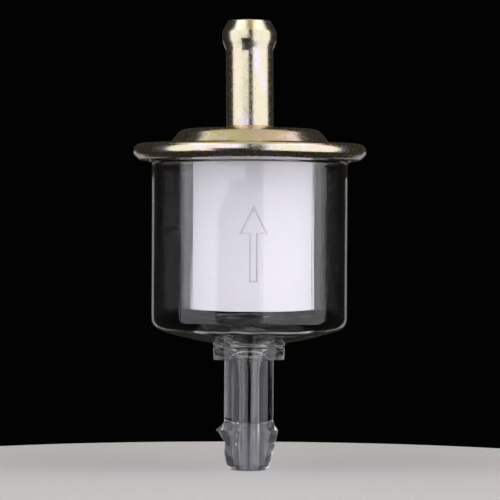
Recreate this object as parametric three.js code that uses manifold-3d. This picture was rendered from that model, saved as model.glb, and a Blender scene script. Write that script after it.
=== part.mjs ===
// Inline fuel filter: a clear bowl crimped into a plated steel cap, a hose nipple at each end,
// and a filter element standing inside. Millimetres, +Z up, which is also the way the fuel flows.
// The origin is the centre of the inlet nipple's end, and -Y is the side with the flow arrow.
import * as THREE from 'three';
import { mergeVertices } from 'three/addons/utils/BufferGeometryUtils.js';
import Module from 'manifold-3d';

const wasm = await Module();
wasm.setup();

// Driving dimensions: radii r and heights z from the inlet nipple's end.
const SHEET = 0.6;
const SLIP = 0.06;

// How finely round shapes are cut into flats, and the shortest length that counts.
const SIDES = 36;
const CURVE_STEPS = 2;
const TINY = 1e-4;
const QUARTER = Math.PI / 2;

// Outlet nipple, a steel tube with a rolled barb and a flared foot under the dome.
const OUTLET_END_Z = 80.9;
const OUTLET_R = 4.25;
const OUTLET_WALL = 0.9;
const OUTLET_BARB_R = 4.9;
const OUTLET_BARB_Z = [77.6, 78.6];
const OUTLET_SWELL = 2.1;
const OUTLET_CONE = { r: 4.7, z: 79.2 };
const OUTLET_LIP_R = [2.9, 3.8];
const OUTLET_LIP_EDGE = 0.3;
const FOOT_R = 5.9;
const BRAZE_LEG = 0.65;

// Cap, one thickness of sheet from the nipple's hole to the rolled edge.
const DOME_Z = 61.3;
const DOME_FLAT_R = 11.3;
const DOME_SHOULDER_R = 2.2;
const DOME_SLOPE = THREE.MathUtils.degToRad(52);
const DOME_FOOT_FILLET = 0.9;
const ANNULUS_Z = 58.6;
const BRAZE_SEAT_R = 5.3; // The dome's facets are split here, just outside the braze.
const RIM_R = 20.95;
const RIM_TOP_BEND = 1.25;
const RIM_WIDEST_Z = 57.2;
const RIM_LEAN = THREE.MathUtils.degToRad(45);
const RIM_CREASE = 0.7;
const RIM_BOTTOM_BEND = 0.8;
const RIM_BOTTOM_Z = 55.7;
const ROLLED_EDGE_R = 18.3;

// Bowl, from its flange in the crimp down to the inlet nipple.
const BOWL_R = 17.58;
const BOWL_WALL = 1.53;
const FLANGE_R = 19.4;
const FLANGE_THICKNESS = 1.2;
const FLANGE_CHAMFER = 0.6;
const NECK_R = 18.2;
const NECK_Z = [55.1, 55.4];
const DISH_BOTTOM_Z = 22.45;
const DISH_R = 48.8;
const DISH_START_R = 6.8;
const FLOOR_THICKNESS = 1.7;
const CORNER_FILLET = 2.2;
const INNER_CORNER_FILLET = 3.7;
const COLLAR_R = 6.48;
const COLLAR_DRAFT = 0.13;
const COLLAR_Z = [19.9, 22.1];
const GROOVE_R = 6.3;
const GROOVE_Z = 22.35;
const INLET_R = 4.42;
const INLET_BORE_R = 1.9;
const INLET_BARB_R = 5.27;
const INLET_BARB_Z = [6.8, 7.25];
const INLET_SHOULDER_Z = 8.6;
const INLET_NOSE = { r: 4.15, z: 2.1, cornerR: 3.8, cornerZ: 0.15 };
const INLET_LAND_R = 2.65;
const FUNNEL_R = 4.2;
const FUNNEL_NECK = { r: 2.6, topZ: 21.5, bottomZ: 16.5 };
const GASKET_R = [16.13, 19.3];

// Flow arrow, an outline raised on the bowl's front.
const ARROW_Z = { tip: 47.35, head: 42.3, tail: 33.85 };
const ARROW_HALF = { head: 2.57, shaft: 0.76 };
const ARROW_LINE = 0.3;
const ARROW_HEIGHT = 0.12;
const ARROW_TURN = THREE.MathUtils.degToRad(2.4);
const ARROW_MARGIN = 1;

// Filter element. It has a little play in the bowl, and stands off the axis to one side.
const ELEMENT_SHIFT_X = 0.55;
const MEDIA_Z = [28.1, 58.1];
const MEDIA_R = { bottom: 11.03, top: 10.76, inner: 7.0 };
const MEDIA_EDGE = 0.3;
const CORE_R = 6.9;
const CORE_WALL = 0.9;
const CORE_COLUMNS = 6;
const CORE_ROWS = 5;
const WINDOW = { depth: 4, width: 3.6, height: 4.2, first: 33.1, pitch: 5 };
const PLUG_FLANGE = 1.5;
const PLUG_SPIGOT = 2.5;
const TOP_RING = 1.5;
const TOP_SPIGOT = 3;
const SPIGOT_WALL = 1.05;
const SEAL_R = [6.6, 10];

const FINISHES = {
  yellowZinc: { color: 0xc9b676, roughness: 0.28, metalness: 1 },
  braze: { color: 0xbfa465, roughness: 0.4, metalness: 1 },
  clearPlastic: { color: 0xf2f4f2, roughness: 0.05, metalness: 0, transparent: true, opacity: 0.3 },
  whiteMedia: { color: 0xe6e3ec, roughness: 0.9, metalness: 0 },
  whitePlastic: { color: 0xdedbd2, roughness: 0.5, metalness: 0 },
  blackRubber: { color: 0x1c1c1d, roughness: 0.8, metalness: 0 },
};

const part = new THREE.Group();

function addPiece(name, geometry, finish) {
  const mesh = new THREE.Mesh(geometry, new THREE.MeshStandardMaterial(FINISHES[finish]));
  mesh.name = name;
  part.add(mesh);
}

// Turns a closed profile about the Z axis. Its points run anticlockwise, with r across and z up.
function turned(profile) {
  const points = profile.getPoints(CURVE_STEPS);
  points.push(points[0].clone());
  return new THREE.LatheGeometry(points, SIDES).rotateX(QUARTER);
}

// A profile of straight sides through [r, z] corners.
function polygon(corners) {
  return new THREE.Path(corners.map(([r, z]) => new THREE.Vector2(r, z)));
}

function solidOf(geometry) {
  const bare = geometry.clone();
  bare.deleteAttribute('normal');
  bare.deleteAttribute('uv');
  const merged = mergeVertices(bare, 1e-3);
  const mesh = new wasm.Mesh({
    numProp: 3,
    vertProperties: merged.attributes.position.array,
    triVerts: new Uint32Array(merged.index.array),
  });
  return new wasm.Manifold(mesh);
}

function geometryOf(solid) {
  const { vertProperties, triVerts } = solid.getMesh();
  const geometry = new THREE.BufferGeometry();
  geometry.setAttribute('position', new THREE.BufferAttribute(vertProperties, 3));
  geometry.setIndex(new THREE.BufferAttribute(triVerts, 1));
  geometry.computeVertexNormals();
  return geometry;
}

// Draws the middle of a bent sheet: straight runs up to a radius or a height, and round bends between.
class SheetPen {
  constructor(r, z) {
    this.at = new THREE.Vector2(r, z);
    this.heading = 0;
    this.path = new THREE.Path();
    this.path.moveTo(r, z);
  }

  runToRadius(r) {
    this.at.y += (r - this.at.x) * Math.tan(this.heading);
    this.at.x = r;
    this.path.lineTo(this.at.x, this.at.y);
  }

  runToHeight(z) {
    this.at.x += (z - this.at.y) / Math.tan(this.heading);
    this.at.y = z;
    this.path.lineTo(this.at.x, this.at.y);
  }

  // A positive angle turns left, which is up on the way out.
  bend(angle, radius) {
    const side = Math.sign(angle) * QUARTER;
    const start = this.heading - side;
    const centreR = this.at.x - radius * Math.cos(start);
    const centreZ = this.at.y - radius * Math.sin(start);
    this.path.absarc(centreR, centreZ, radius, start, start + angle, angle < 0);
    this.heading += angle;
    this.at.copy(this.path.currentPoint);
  }
}

// The middle of the cap's sheet, from the nipple's hole out over the dome and round the rim.
function capMiddle() {
  const half = SHEET / 2;
  const fall = (radius, angle) => radius * (1 - Math.cos(angle));
  const underBend = RIM_BOTTOM_BEND - half;
  const pen = new SheetPen(OUTLET_R + SLIP, DOME_Z - half);
  pen.runToRadius(BRAZE_SEAT_R);
  pen.runToRadius(DOME_FLAT_R);
  pen.bend(-DOME_SLOPE, DOME_SHOULDER_R - half);
  pen.runToHeight(ANNULUS_Z - half + fall(DOME_FOOT_FILLET, DOME_SLOPE));
  pen.bend(DOME_SLOPE, DOME_FOOT_FILLET);
  pen.runToRadius(RIM_R - RIM_TOP_BEND);
  pen.bend(-QUARTER, RIM_TOP_BEND - half);
  pen.runToHeight(RIM_WIDEST_Z);
  pen.bend(-RIM_LEAN, RIM_CREASE);
  pen.runToHeight(RIM_BOTTOM_Z + half + fall(underBend, RIM_LEAN));
  pen.bend(-RIM_LEAN, underBend);
  pen.runToRadius(ROLLED_EDGE_R);
  return pen.path;
}

// Thickens a path by half a sheet to each side, and closes it.
function sheetProfile(path) {
  const half = SHEET / 2;
  const upper = [];
  const lower = [];
  for (const curve of path.curves.filter((each) => each.getLength() > TINY)) {
    const steps = curve.isLineCurve ? 1 : CURVE_STEPS * 2;
    for (let i = 0; i <= steps; i += 1) {
      const point = curve.getPoint(i / steps);
      const along = curve.getTangent(i / steps);
      const across = new THREE.Vector2(-along.y, along.x).multiplyScalar(half);
      upper.push(point.clone().add(across));
      lower.push(point.clone().sub(across));
    }
  }
  const apart = (p, i, all) => i === 0 || p.distanceTo(all[i - 1]) > TINY;
  return new THREE.Path([...lower.filter(apart), ...upper.filter(apart).reverse()]);
}

function cap() {
  return turned(sheetProfile(capMiddle()));
}

function outletNipple() {
  const bore = OUTLET_R - OUTLET_WALL;
  const groove = OUTLET_BARB_R - OUTLET_WALL;
  const [barbLow, barbHigh] = OUTLET_BARB_Z;
  const [lipInner, lipOuter] = OUTLET_LIP_R;
  const underDome = DOME_Z - SHEET;
  const swellLow = barbLow - OUTLET_SWELL;
  const swellMiddle = barbLow - OUTLET_SWELL / 2;
  const lipLow = OUTLET_END_Z - OUTLET_LIP_EDGE;
  const path = new THREE.Path();
  path.moveTo(bore, underDome - SHEET);
  path.lineTo(FOOT_R, underDome - SHEET);
  path.lineTo(FOOT_R, underDome);
  path.lineTo(OUTLET_R, underDome);
  path.lineTo(OUTLET_R, swellLow);
  path.bezierCurveTo(OUTLET_R, swellMiddle, OUTLET_BARB_R, swellMiddle, OUTLET_BARB_R, barbLow);
  path.lineTo(OUTLET_BARB_R, barbHigh);
  path.quadraticCurveTo(OUTLET_BARB_R, OUTLET_CONE.z - OUTLET_LIP_EDGE, OUTLET_CONE.r, OUTLET_CONE.z);
  path.lineTo(lipOuter, lipLow);
  path.quadraticCurveTo(lipOuter, OUTLET_END_Z, lipOuter - OUTLET_LIP_EDGE, OUTLET_END_Z);
  path.lineTo(lipInner, OUTLET_END_Z);
  path.lineTo(groove, barbHigh);
  path.lineTo(groove, barbLow);
  path.lineTo(bore, swellLow);
  return turned(path);
}

// A hollow fillet of filler between the nipple and the dome.
function nippleBrazeRing() {
  const inner = OUTLET_R + SLIP;
  const hollow = BRAZE_LEG / 5;
  const path = new THREE.Path();
  path.moveTo(inner, DOME_Z);
  path.lineTo(inner + BRAZE_LEG, DOME_Z);
  path.quadraticCurveTo(inner + hollow, DOME_Z + hollow, inner, DOME_Z + BRAZE_LEG);
  return turned(path);
}

// Where a wall of radius r meets a dish of radius dishR with a fillet inside the corner.
function corner(r, dishR, fillet) {
  const dishCentreZ = DISH_BOTTOM_Z + DISH_R;
  const lean = Math.asin((r - fillet) / (dishR - fillet));
  const z = dishCentreZ - (dishR - fillet) * Math.cos(lean);
  return { r: r - fillet, z, lean, dishCentreZ };
}

// The outside of the floor and its corner, from the collar's groove out to the wall.
function outerFloor(path) {
  const at = corner(BOWL_R, DISH_R, CORNER_FILLET);
  const start = Math.asin(DISH_START_R / DISH_R) - QUARTER;
  path.absarc(0, at.dishCentreZ, DISH_R, start, at.lean - QUARTER, false);
  path.absarc(at.r, at.z, CORNER_FILLET, at.lean - QUARTER, 0, false);
}

// The inside of the corner and the floor, from the wall in to the funnel.
function innerFloor(path) {
  const dishR = DISH_R - FLOOR_THICKNESS;
  const at = corner(BOWL_R - BOWL_WALL, dishR, INNER_CORNER_FILLET);
  const end = Math.asin(FUNNEL_R / dishR) - QUARTER;
  path.absarc(at.r, at.z, INNER_CORNER_FILLET, 0, at.lean - QUARTER, true);
  path.absarc(0, at.dishCentreZ, dishR, at.lean - QUARTER, end, true);
}

function bowlBody() {
  const flangeZ = RIM_BOTTOM_Z + SHEET;
  const [collarLow, collarHigh] = COLLAR_Z;
  const path = new THREE.Path();
  path.moveTo(INLET_BORE_R, 0);
  path.lineTo(INLET_LAND_R, 0);
  path.quadraticCurveTo(INLET_NOSE.cornerR, INLET_NOSE.cornerZ, INLET_NOSE.r, INLET_NOSE.z);
  path.lineTo(INLET_BARB_R, INLET_BARB_Z[0]);
  path.lineTo(INLET_BARB_R, INLET_BARB_Z[1]);
  path.lineTo(INLET_R, INLET_SHOULDER_Z);
  path.lineTo(INLET_R, collarLow);
  path.lineTo(COLLAR_R - COLLAR_DRAFT, collarLow);
  path.lineTo(COLLAR_R, collarHigh);
  path.lineTo(GROOVE_R, GROOVE_Z);
  outerFloor(path);
  path.lineTo(BOWL_R, NECK_Z[0]);
  path.lineTo(NECK_R, NECK_Z[1]);
  path.lineTo(NECK_R, flangeZ);
  path.lineTo(FLANGE_R - FLANGE_CHAMFER, flangeZ);
  path.lineTo(FLANGE_R, flangeZ + FLANGE_CHAMFER);
  path.lineTo(FLANGE_R, flangeZ + FLANGE_THICKNESS);
  path.lineTo(BOWL_R - BOWL_WALL, flangeZ + FLANGE_THICKNESS);
  innerFloor(path);
  path.lineTo(FUNNEL_NECK.r, FUNNEL_NECK.topZ);
  path.lineTo(INLET_BORE_R, FUNNEL_NECK.bottomZ);
  return turned(path);
}

// The arrow's outline, anticlockwise, moved inwards by an even distance.
function arrowCorners(inset) {
  const { tip, head, tail } = ARROW_Z;
  const lean = Math.atan2(ARROW_HALF.head, tip - head);
  const shaft = ARROW_HALF.shaft - inset;
  const wing = ARROW_HALF.head * (1 - inset / (tip - head)) - inset / Math.cos(lean);
  const right = [
    [shaft, tail + inset],
    [shaft, head + inset],
    [wing, head + inset],
  ];
  const left = right.map(([x, z]) => [-x, z]).reverse();
  return [...right, [0, tip - inset / Math.sin(lean)], ...left];
}

// The outline is cut from a bar through the wall, where the bar meets a skin just proud of the bowl.
function flowArrow() {
  const outline = (inset) => arrowCorners(inset).map(([x, z]) => new THREE.Vector2(x, z));
  const shape = new THREE.Shape(outline(0));
  shape.holes.push(new THREE.Path(outline(ARROW_LINE)));
  const depth = BOWL_WALL + ARROW_HEIGHT * 2;
  const bar = new THREE.ExtrudeGeometry(shape, { depth, bevelEnabled: false });
  bar.rotateX(QUARTER);
  bar.translate(0, depth / 2 - BOWL_R, 0);
  bar.rotateZ(ARROW_TURN);
  const low = ARROW_Z.tail - ARROW_MARGIN;
  const high = ARROW_Z.tip + ARROW_MARGIN;
  const inner = BOWL_R - BOWL_WALL / 2;
  const outer = BOWL_R + ARROW_HEIGHT;
  const skin = turned(polygon([[inner, low], [outer, low], [outer, high], [inner, high]]));
  return solidOf(bar).intersect(solidOf(skin));
}

function bowl() {
  return geometryOf(solidOf(bowlBody()).add(flowArrow()));
}

function capGasket() {
  const low = RIM_BOTTOM_Z + SHEET + FLANGE_THICKNESS;
  const high = ANNULUS_Z - SHEET;
  const [inner, outer] = GASKET_R;
  return turned(polygon([[inner, low], [outer, low], [outer, high], [inner, high]]));
}

function filterMedia() {
  const [low, high] = MEDIA_Z;
  const { bottom, top, inner } = MEDIA_R;
  const corners = [
    [inner, low],
    [bottom - MEDIA_EDGE, low],
    [bottom, low + MEDIA_EDGE],
    [top, high],
    [inner, high],
  ];
  return turned(polygon(corners));
}

function mediaCore() {
  const low = MEDIA_Z[0] + PLUG_FLANGE;
  const high = MEDIA_Z[1];
  const inner = CORE_R - CORE_WALL;
  const tube = polygon([[inner, low], [CORE_R, low], [CORE_R, high], [inner, high]]);
  let solid = solidOf(turned(tube));
  for (let row = 0; row < CORE_ROWS; row += 1) {
    for (let column = 0; column < CORE_COLUMNS; column += 1) {
      const cutter = new THREE.BoxGeometry(WINDOW.depth, WINDOW.width, WINDOW.height);
      cutter.translate(CORE_R, 0, WINDOW.first + row * WINDOW.pitch);
      cutter.rotateZ((column * Math.PI * 2) / CORE_COLUMNS);
      solid = solid.subtract(solidOf(cutter));
    }
  }
  return geometryOf(solid);
}

function mediaEndPlug() {
  const low = MEDIA_Z[0];
  const flange = low + PLUG_FLANGE;
  const spigot = CORE_R - CORE_WALL - SLIP;
  const corners = [
    [0, low],
    [CORE_R, low],
    [CORE_R, flange],
    [spigot, flange],
    [spigot, flange + PLUG_SPIGOT],
    [spigot - SPIGOT_WALL, flange + PLUG_SPIGOT],
    [spigot - SPIGOT_WALL, flange],
    [0, flange],
  ];
  return turned(polygon(corners));
}

function mediaTopRing() {
  const low = MEDIA_Z[1];
  const spigot = CORE_R - CORE_WALL - SLIP;
  const bore = spigot - SPIGOT_WALL;
  const corners = [
    [bore, low - TOP_SPIGOT],
    [spigot, low - TOP_SPIGOT],
    [spigot, low],
    [MEDIA_R.top, low],
    [MEDIA_R.top, low + TOP_RING],
    [bore, low + TOP_RING],
  ];
  return turned(polygon(corners));
}

function elementSeal() {
  const low = MEDIA_Z[1] + TOP_RING;
  const high = DOME_Z - SHEET;
  const [inner, outer] = SEAL_R;
  return turned(polygon([[inner, low], [outer, low], [outer, high], [inner, high]]));
}

// Moves a piece of the element to where the element stands.
function shifted(geometry) {
  return geometry.translate(ELEMENT_SHIFT_X, 0, 0);
}

addPiece('cap', cap(), 'yellowZinc');
addPiece('outlet_nipple', outletNipple(), 'yellowZinc');
addPiece('nipple_braze_ring', nippleBrazeRing(), 'braze');
addPiece('bowl', bowl(), 'clearPlastic');
addPiece('cap_gasket', capGasket(), 'blackRubber');
addPiece('filter_media', shifted(filterMedia()), 'whiteMedia');
addPiece('media_core', shifted(mediaCore()), 'whitePlastic');
addPiece('media_end_plug', shifted(mediaEndPlug()), 'whitePlastic');
addPiece('media_top_ring', shifted(mediaTopRing()), 'whitePlastic');
addPiece('element_seal', shifted(elementSeal()), 'blackRubber');

export default part;
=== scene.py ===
"""Inline fuel filter: a clear bowl crimped into a yellow plated steel cap, with a white filter element inside
and a hose nipple at each end. Metres, +Z along the flow, -Y is the side with the flow arrow."""

import math
import random

import bmesh
import bpy
from bpy.props import FloatProperty, FloatVectorProperty, IntProperty, PointerProperty
from mathutils import Matrix, Vector, noise


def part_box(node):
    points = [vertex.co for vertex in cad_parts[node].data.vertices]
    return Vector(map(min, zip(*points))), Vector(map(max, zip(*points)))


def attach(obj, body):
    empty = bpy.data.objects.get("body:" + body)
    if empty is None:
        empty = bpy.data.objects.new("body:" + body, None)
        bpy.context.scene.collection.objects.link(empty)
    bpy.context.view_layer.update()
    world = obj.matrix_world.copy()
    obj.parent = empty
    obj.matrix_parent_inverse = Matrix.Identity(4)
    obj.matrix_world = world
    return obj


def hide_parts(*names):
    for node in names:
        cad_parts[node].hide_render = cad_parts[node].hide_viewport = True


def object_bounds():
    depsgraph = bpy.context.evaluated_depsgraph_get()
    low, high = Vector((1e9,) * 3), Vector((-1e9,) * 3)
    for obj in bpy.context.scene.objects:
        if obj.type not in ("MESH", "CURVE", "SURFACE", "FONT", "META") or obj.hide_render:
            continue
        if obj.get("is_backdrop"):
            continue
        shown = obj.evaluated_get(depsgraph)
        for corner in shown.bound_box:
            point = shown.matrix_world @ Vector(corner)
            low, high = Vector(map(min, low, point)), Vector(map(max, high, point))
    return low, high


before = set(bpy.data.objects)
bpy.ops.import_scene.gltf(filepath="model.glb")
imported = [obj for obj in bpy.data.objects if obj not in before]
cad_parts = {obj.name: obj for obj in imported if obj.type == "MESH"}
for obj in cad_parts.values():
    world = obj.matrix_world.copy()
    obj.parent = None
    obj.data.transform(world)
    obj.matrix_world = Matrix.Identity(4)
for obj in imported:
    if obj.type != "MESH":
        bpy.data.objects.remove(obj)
CAD_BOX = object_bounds()

bl_info = {
    "name": "Inline Fuel Filter",
    "version": (1, 0, 0),
    "blender": (4, 5, 0),
    "location": "3D View > Sidebar > Fuel Filter",
    "description": "Builds a clear bowl inline fuel filter piece by piece around its CAD frame",
    "category": "Add Mesh",
}

MM = 0.001
BODY = "root"
FULL_TURN = math.tau
ARC_STEP = math.radians(5)
SHARP_EDGE = math.radians(32)
CAP_STEPS = 384
MEDIUM_STEPS = 256
TUBE_STEPS = 192
RING_STEPS = 128
CLOSE = 1e-7
# Slot of the arrow's raised line, whose greyer tint is painted shade
PAINTED_SHADE_LINE_FINISH = 1
WORN_FINISH = 2
OUTSIDE_BORE = 1.3
ORIGIN = Vector((0, 0, 0))
UP = Vector((0, 0, 1))


def mm(name, description, millimetres):
    """A length property, whose default is given in millimetres."""
    return FloatProperty(
        name=name, description=description, default=millimetres * MM, subtype="DISTANCE", unit="LENGTH"
    )


def turn(name, description, degrees):
    """An angle property, whose default is given in degrees."""
    angle = math.radians(degrees)
    return FloatProperty(name=name, description=description, default=angle, subtype="ANGLE", unit="ROTATION")


def tint(name, description, rgb):
    """A colour property."""
    return FloatVectorProperty(
        name=name, description=description, default=rgb, size=3, min=0, max=1, subtype="COLOR"
    )


def plain(name, description, value):
    """A number without a unit."""
    return FloatProperty(name=name, description=description, default=value)


def top_of(node):
    """The height of a CAD node's highest point, in millimetres."""
    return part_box(node)[1].z / MM


class OutletSizes(bpy.types.PropertyGroup):
    """The rolled steel outlet nipple. Heights are from the inlet nipple's end."""

    end: mm("End height", "Height of the nipple's open end", top_of("outlet_nipple"))
    stem: mm("Stem radius", "Outside radius of the tube", 4.25)
    wall: mm("Wall", "Thickness of the tube's wall", 0.9)
    barb: mm("Barb radius", "Outside radius of the rolled barb", 4.9)
    barb_low: mm("Barb start", "Height where the barb reaches its full radius", 77.7)
    barb_high: mm("Barb end", "Height where the barb starts to close in", 78.8)
    swell: mm("Swell", "Length over which the stem swells into the barb", 2.65)
    lip: mm("Lip radius", "Outside radius of the rolled lip", 3.78)
    lip_bore: mm("Lip bore radius", "Radius of the opening in the rolled lip", 2.85)
    foot: mm("Foot radius", "Radius of the flared foot under the dome", 5.9)
    braze_leg: mm("Braze leg", "Leg of the braze fillet on the dome", 0.6)
    lean: turn("Lean", "How far the brazed nipple leans towards -X", 0.6)


class CapSizes(bpy.types.PropertyGroup):
    """The pressed steel cap, by its outer surface."""

    sheet: mm("Sheet", "Thickness of the sheet", 0.6)
    hole: mm("Hole radius", "Radius of the nipple's hole", 4.31)
    dome: mm("Dome height", "Height of the dome's flat top", 61.3)
    dome_flat: mm("Dome flat radius", "Radius where the dome's flat top ends", 11.3)
    shoulder: mm("Dome shoulder", "Bend radius of the dome's shoulder", 2.2)
    slope: turn("Dome slope", "How steeply the dome's side falls", 52)
    foot_fillet: mm("Foot fillet", "Bend radius where the dome meets the flat ring", 0.6)
    ring: mm("Ring height", "Height of the flat ring round the dome", 58.6)
    rim: mm("Rim radius", "Radius of the rolled rim, the widest part", 20.95)
    top_bend: mm("Top bend", "Bend radius at the rim's upper edge", 1.25)
    crease: mm("Crease height", "Height of the corner where the rim starts to lean in", 56.79)
    crease_bend: mm("Crease bend", "Bend radius of that corner", 1.0)
    rim_bottom: mm("Rim bottom", "Height of the rim's underside", 55.7)
    bottom_bend: mm("Bottom bend", "Bend radius at the rim's lower edge", 0.8)
    rolled_edge: mm("Rolled edge radius", "Radius where the rolled under edge ends", 18.3)
    gasket_bore: mm("Gasket bore", "Inside radius of the gasket in the crimp", 16.13)
    gasket: mm("Gasket radius", "Outside radius of the gasket in the crimp", 19.3)


class BowlSizes(bpy.types.PropertyGroup):
    """The clear moulding: flange, wall, dished floor, collar and barbed inlet nipple."""

    outer: mm("Outer radius", "Outside radius of the bowl's wall", 17.58)
    wall: mm("Wall", "Thickness of the bowl's wall", 1.53)
    flange: mm("Flange radius", "Radius of the flange in the crimp", 19.4)
    flange_low: mm("Flange underside", "Height of the flange's underside", 56.3)
    flange_high: mm("Flange top", "Height of the flange's top face", 57.5)
    neck: mm("Neck radius", "Radius of the step under the flange", 18.2)
    neck_low: mm("Neck height", "Height where the wall starts to flare into the neck", 55.1)
    dish_low: mm("Dish height", "Height of the dished floor's outside, on the axis", 22.45)
    dish: mm("Dish radius", "Radius of the dished floor's curve, outside", 48.8)
    floor: mm("Floor", "Thickness of the floor", 1.7)
    fillet: mm("Corner fillet", "Outside fillet between the floor and the wall", 2.2)
    inner_fillet: mm("Inner corner fillet", "Inside fillet between the floor and the wall", 3.7)
    collar: mm("Collar radius", "Radius of the hose stop collar", 6.48)
    collar_low: mm("Collar underside", "Height of the collar's lower face", 19.9)
    collar_high: mm("Collar top", "Height of the collar's upper edge", 22.05)
    stem: mm("Stem radius", "Outside radius of the inlet tube", 4.42)
    bore: mm("Bore radius", "Radius of the inlet's bore", 1.9)
    barb: mm("Barb radius", "Largest radius of the moulded barb", 5.27)
    barb_low: mm("Barb edge", "Height of the barb's lower edge", 6.8)
    barb_high: mm("Barb shoulder", "Height where the barb's shoulder starts", 7.25)
    barb_top: mm("Barb top", "Height where the shoulder runs out into the stem", 8.6)
    nose: mm("Nose radius", "Radius of the nipple's end, before rounding", 3.72)
    nose_round: mm("Nose rounding", "Rounding of the nipple's end", 1.4)
    funnel: mm("Funnel radius", "Radius of the funnel's mouth in the floor", 4.2)


class ArrowSizes(bpy.types.PropertyGroup):
    """The flow arrow, an outline raised on the bowl's front."""

    tip: mm("Tip height", "Height of the arrow's tip", 47.35)
    head: mm("Head height", "Height of the head's base", 42.3)
    tail: mm("Tail height", "Height of the shaft's end", 33.85)
    head_half: mm("Head half width", "Half of the head's width", 2.57)
    shaft_half: mm("Shaft half width", "Half of the shaft's width", 0.76)
    line: mm("Line", "Width of the raised line", 0.3)
    proud: mm("Proud", "How far the line stands proud", 0.16)
    draft: mm("Draft", "How far the line's sides lean in", 0.05)
    round_axis: turn("Angle", "Angle of the arrow round the axis, from the front towards +X", 2.4)


class ElementSizes(bpy.types.PropertyGroup):
    """The filter element and its end fittings."""

    shift: mm("Shift", "How far the element stands off the axis, towards +X", 0.55)
    low: mm("Lower end", "Height of the element's lower end", 28.1)
    high: mm("Upper end", "Height of the medium's upper end", 58.1)
    foot: mm("Lower radius", "Radius of the medium at its lower end", 11.03)
    head: mm("Upper radius", "Radius of the medium at its upper end", 10.76)
    bore: mm("Medium bore", "Inside radius of the medium", 7.0)
    core: mm("Core radius", "Radius of the core tube", 6.9)
    spigot: mm("Spigot radius", "Radius of the spigots inside the core", 5.94)
    spigot_wall: mm("Spigot wall", "Thickness of the spigots' walls", 1.05)
    plug: mm("Plug thickness", "Thickness of the end plug", 1.5)
    plug_spigot: mm("Plug spigot", "Length of the end plug's spigot", 2.5)
    ring: mm("Ring thickness", "Thickness of the top ring", 1.5)
    ring_spigot: mm("Ring spigot", "Length of the top ring's spigot", 3.0)
    seal_bore: mm("Seal bore", "Inside radius of the element seal", 6.6)
    seal: mm("Seal radius", "Outside radius of the element seal", 10.0)


class Finishes(bpy.types.PropertyGroup):
    """Colours of the finishes."""

    plating: tint("Plating", "Yellow chromate over bright zinc", (0.54, 0.50, 0.36))
    plating_rose: tint("Plating, rose", "Rosy cast in the chromate", (0.60, 0.47, 0.41))
    plating_green: tint("Plating, green", "Green cast in the chromate", (0.47, 0.49, 0.30))
    plating_lilac: tint("Plating, lilac", "Lilac cast in the chromate", (0.57, 0.52, 0.57))
    stain: tint("Stain", "Olive stains in the chromate", (0.20, 0.16, 0.07))
    braze: tint("Braze", "Braze filler under the plating", (0.46, 0.36, 0.19))
    # Painted shade: the arrow line is tinted greyer to stand for the shade and refraction at its edges
    line: tint("Arrow line", "Greyer tint of the arrow's raised line", (0.78, 0.76, 0.74))
    worn: tint("Worn plastic", "The barb, scuffed by hoses", (0.88, 0.89, 0.93))
    clear: tint("Clear plastic", "Tint of the clear plastic", (0.965, 0.97, 0.97))
    medium: tint("Medium", "White filter medium", (0.75, 0.74, 0.795))
    medium_shade: tint("Medium, shade", "The medium's darker fibres", (0.65, 0.635, 0.70))
    plastic: tint("White plastic", "Natural white moulded plastic", (0.72, 0.70, 0.64))
    rubber: tint("Rubber", "Black rubber", (0.018, 0.018, 0.019))


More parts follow.
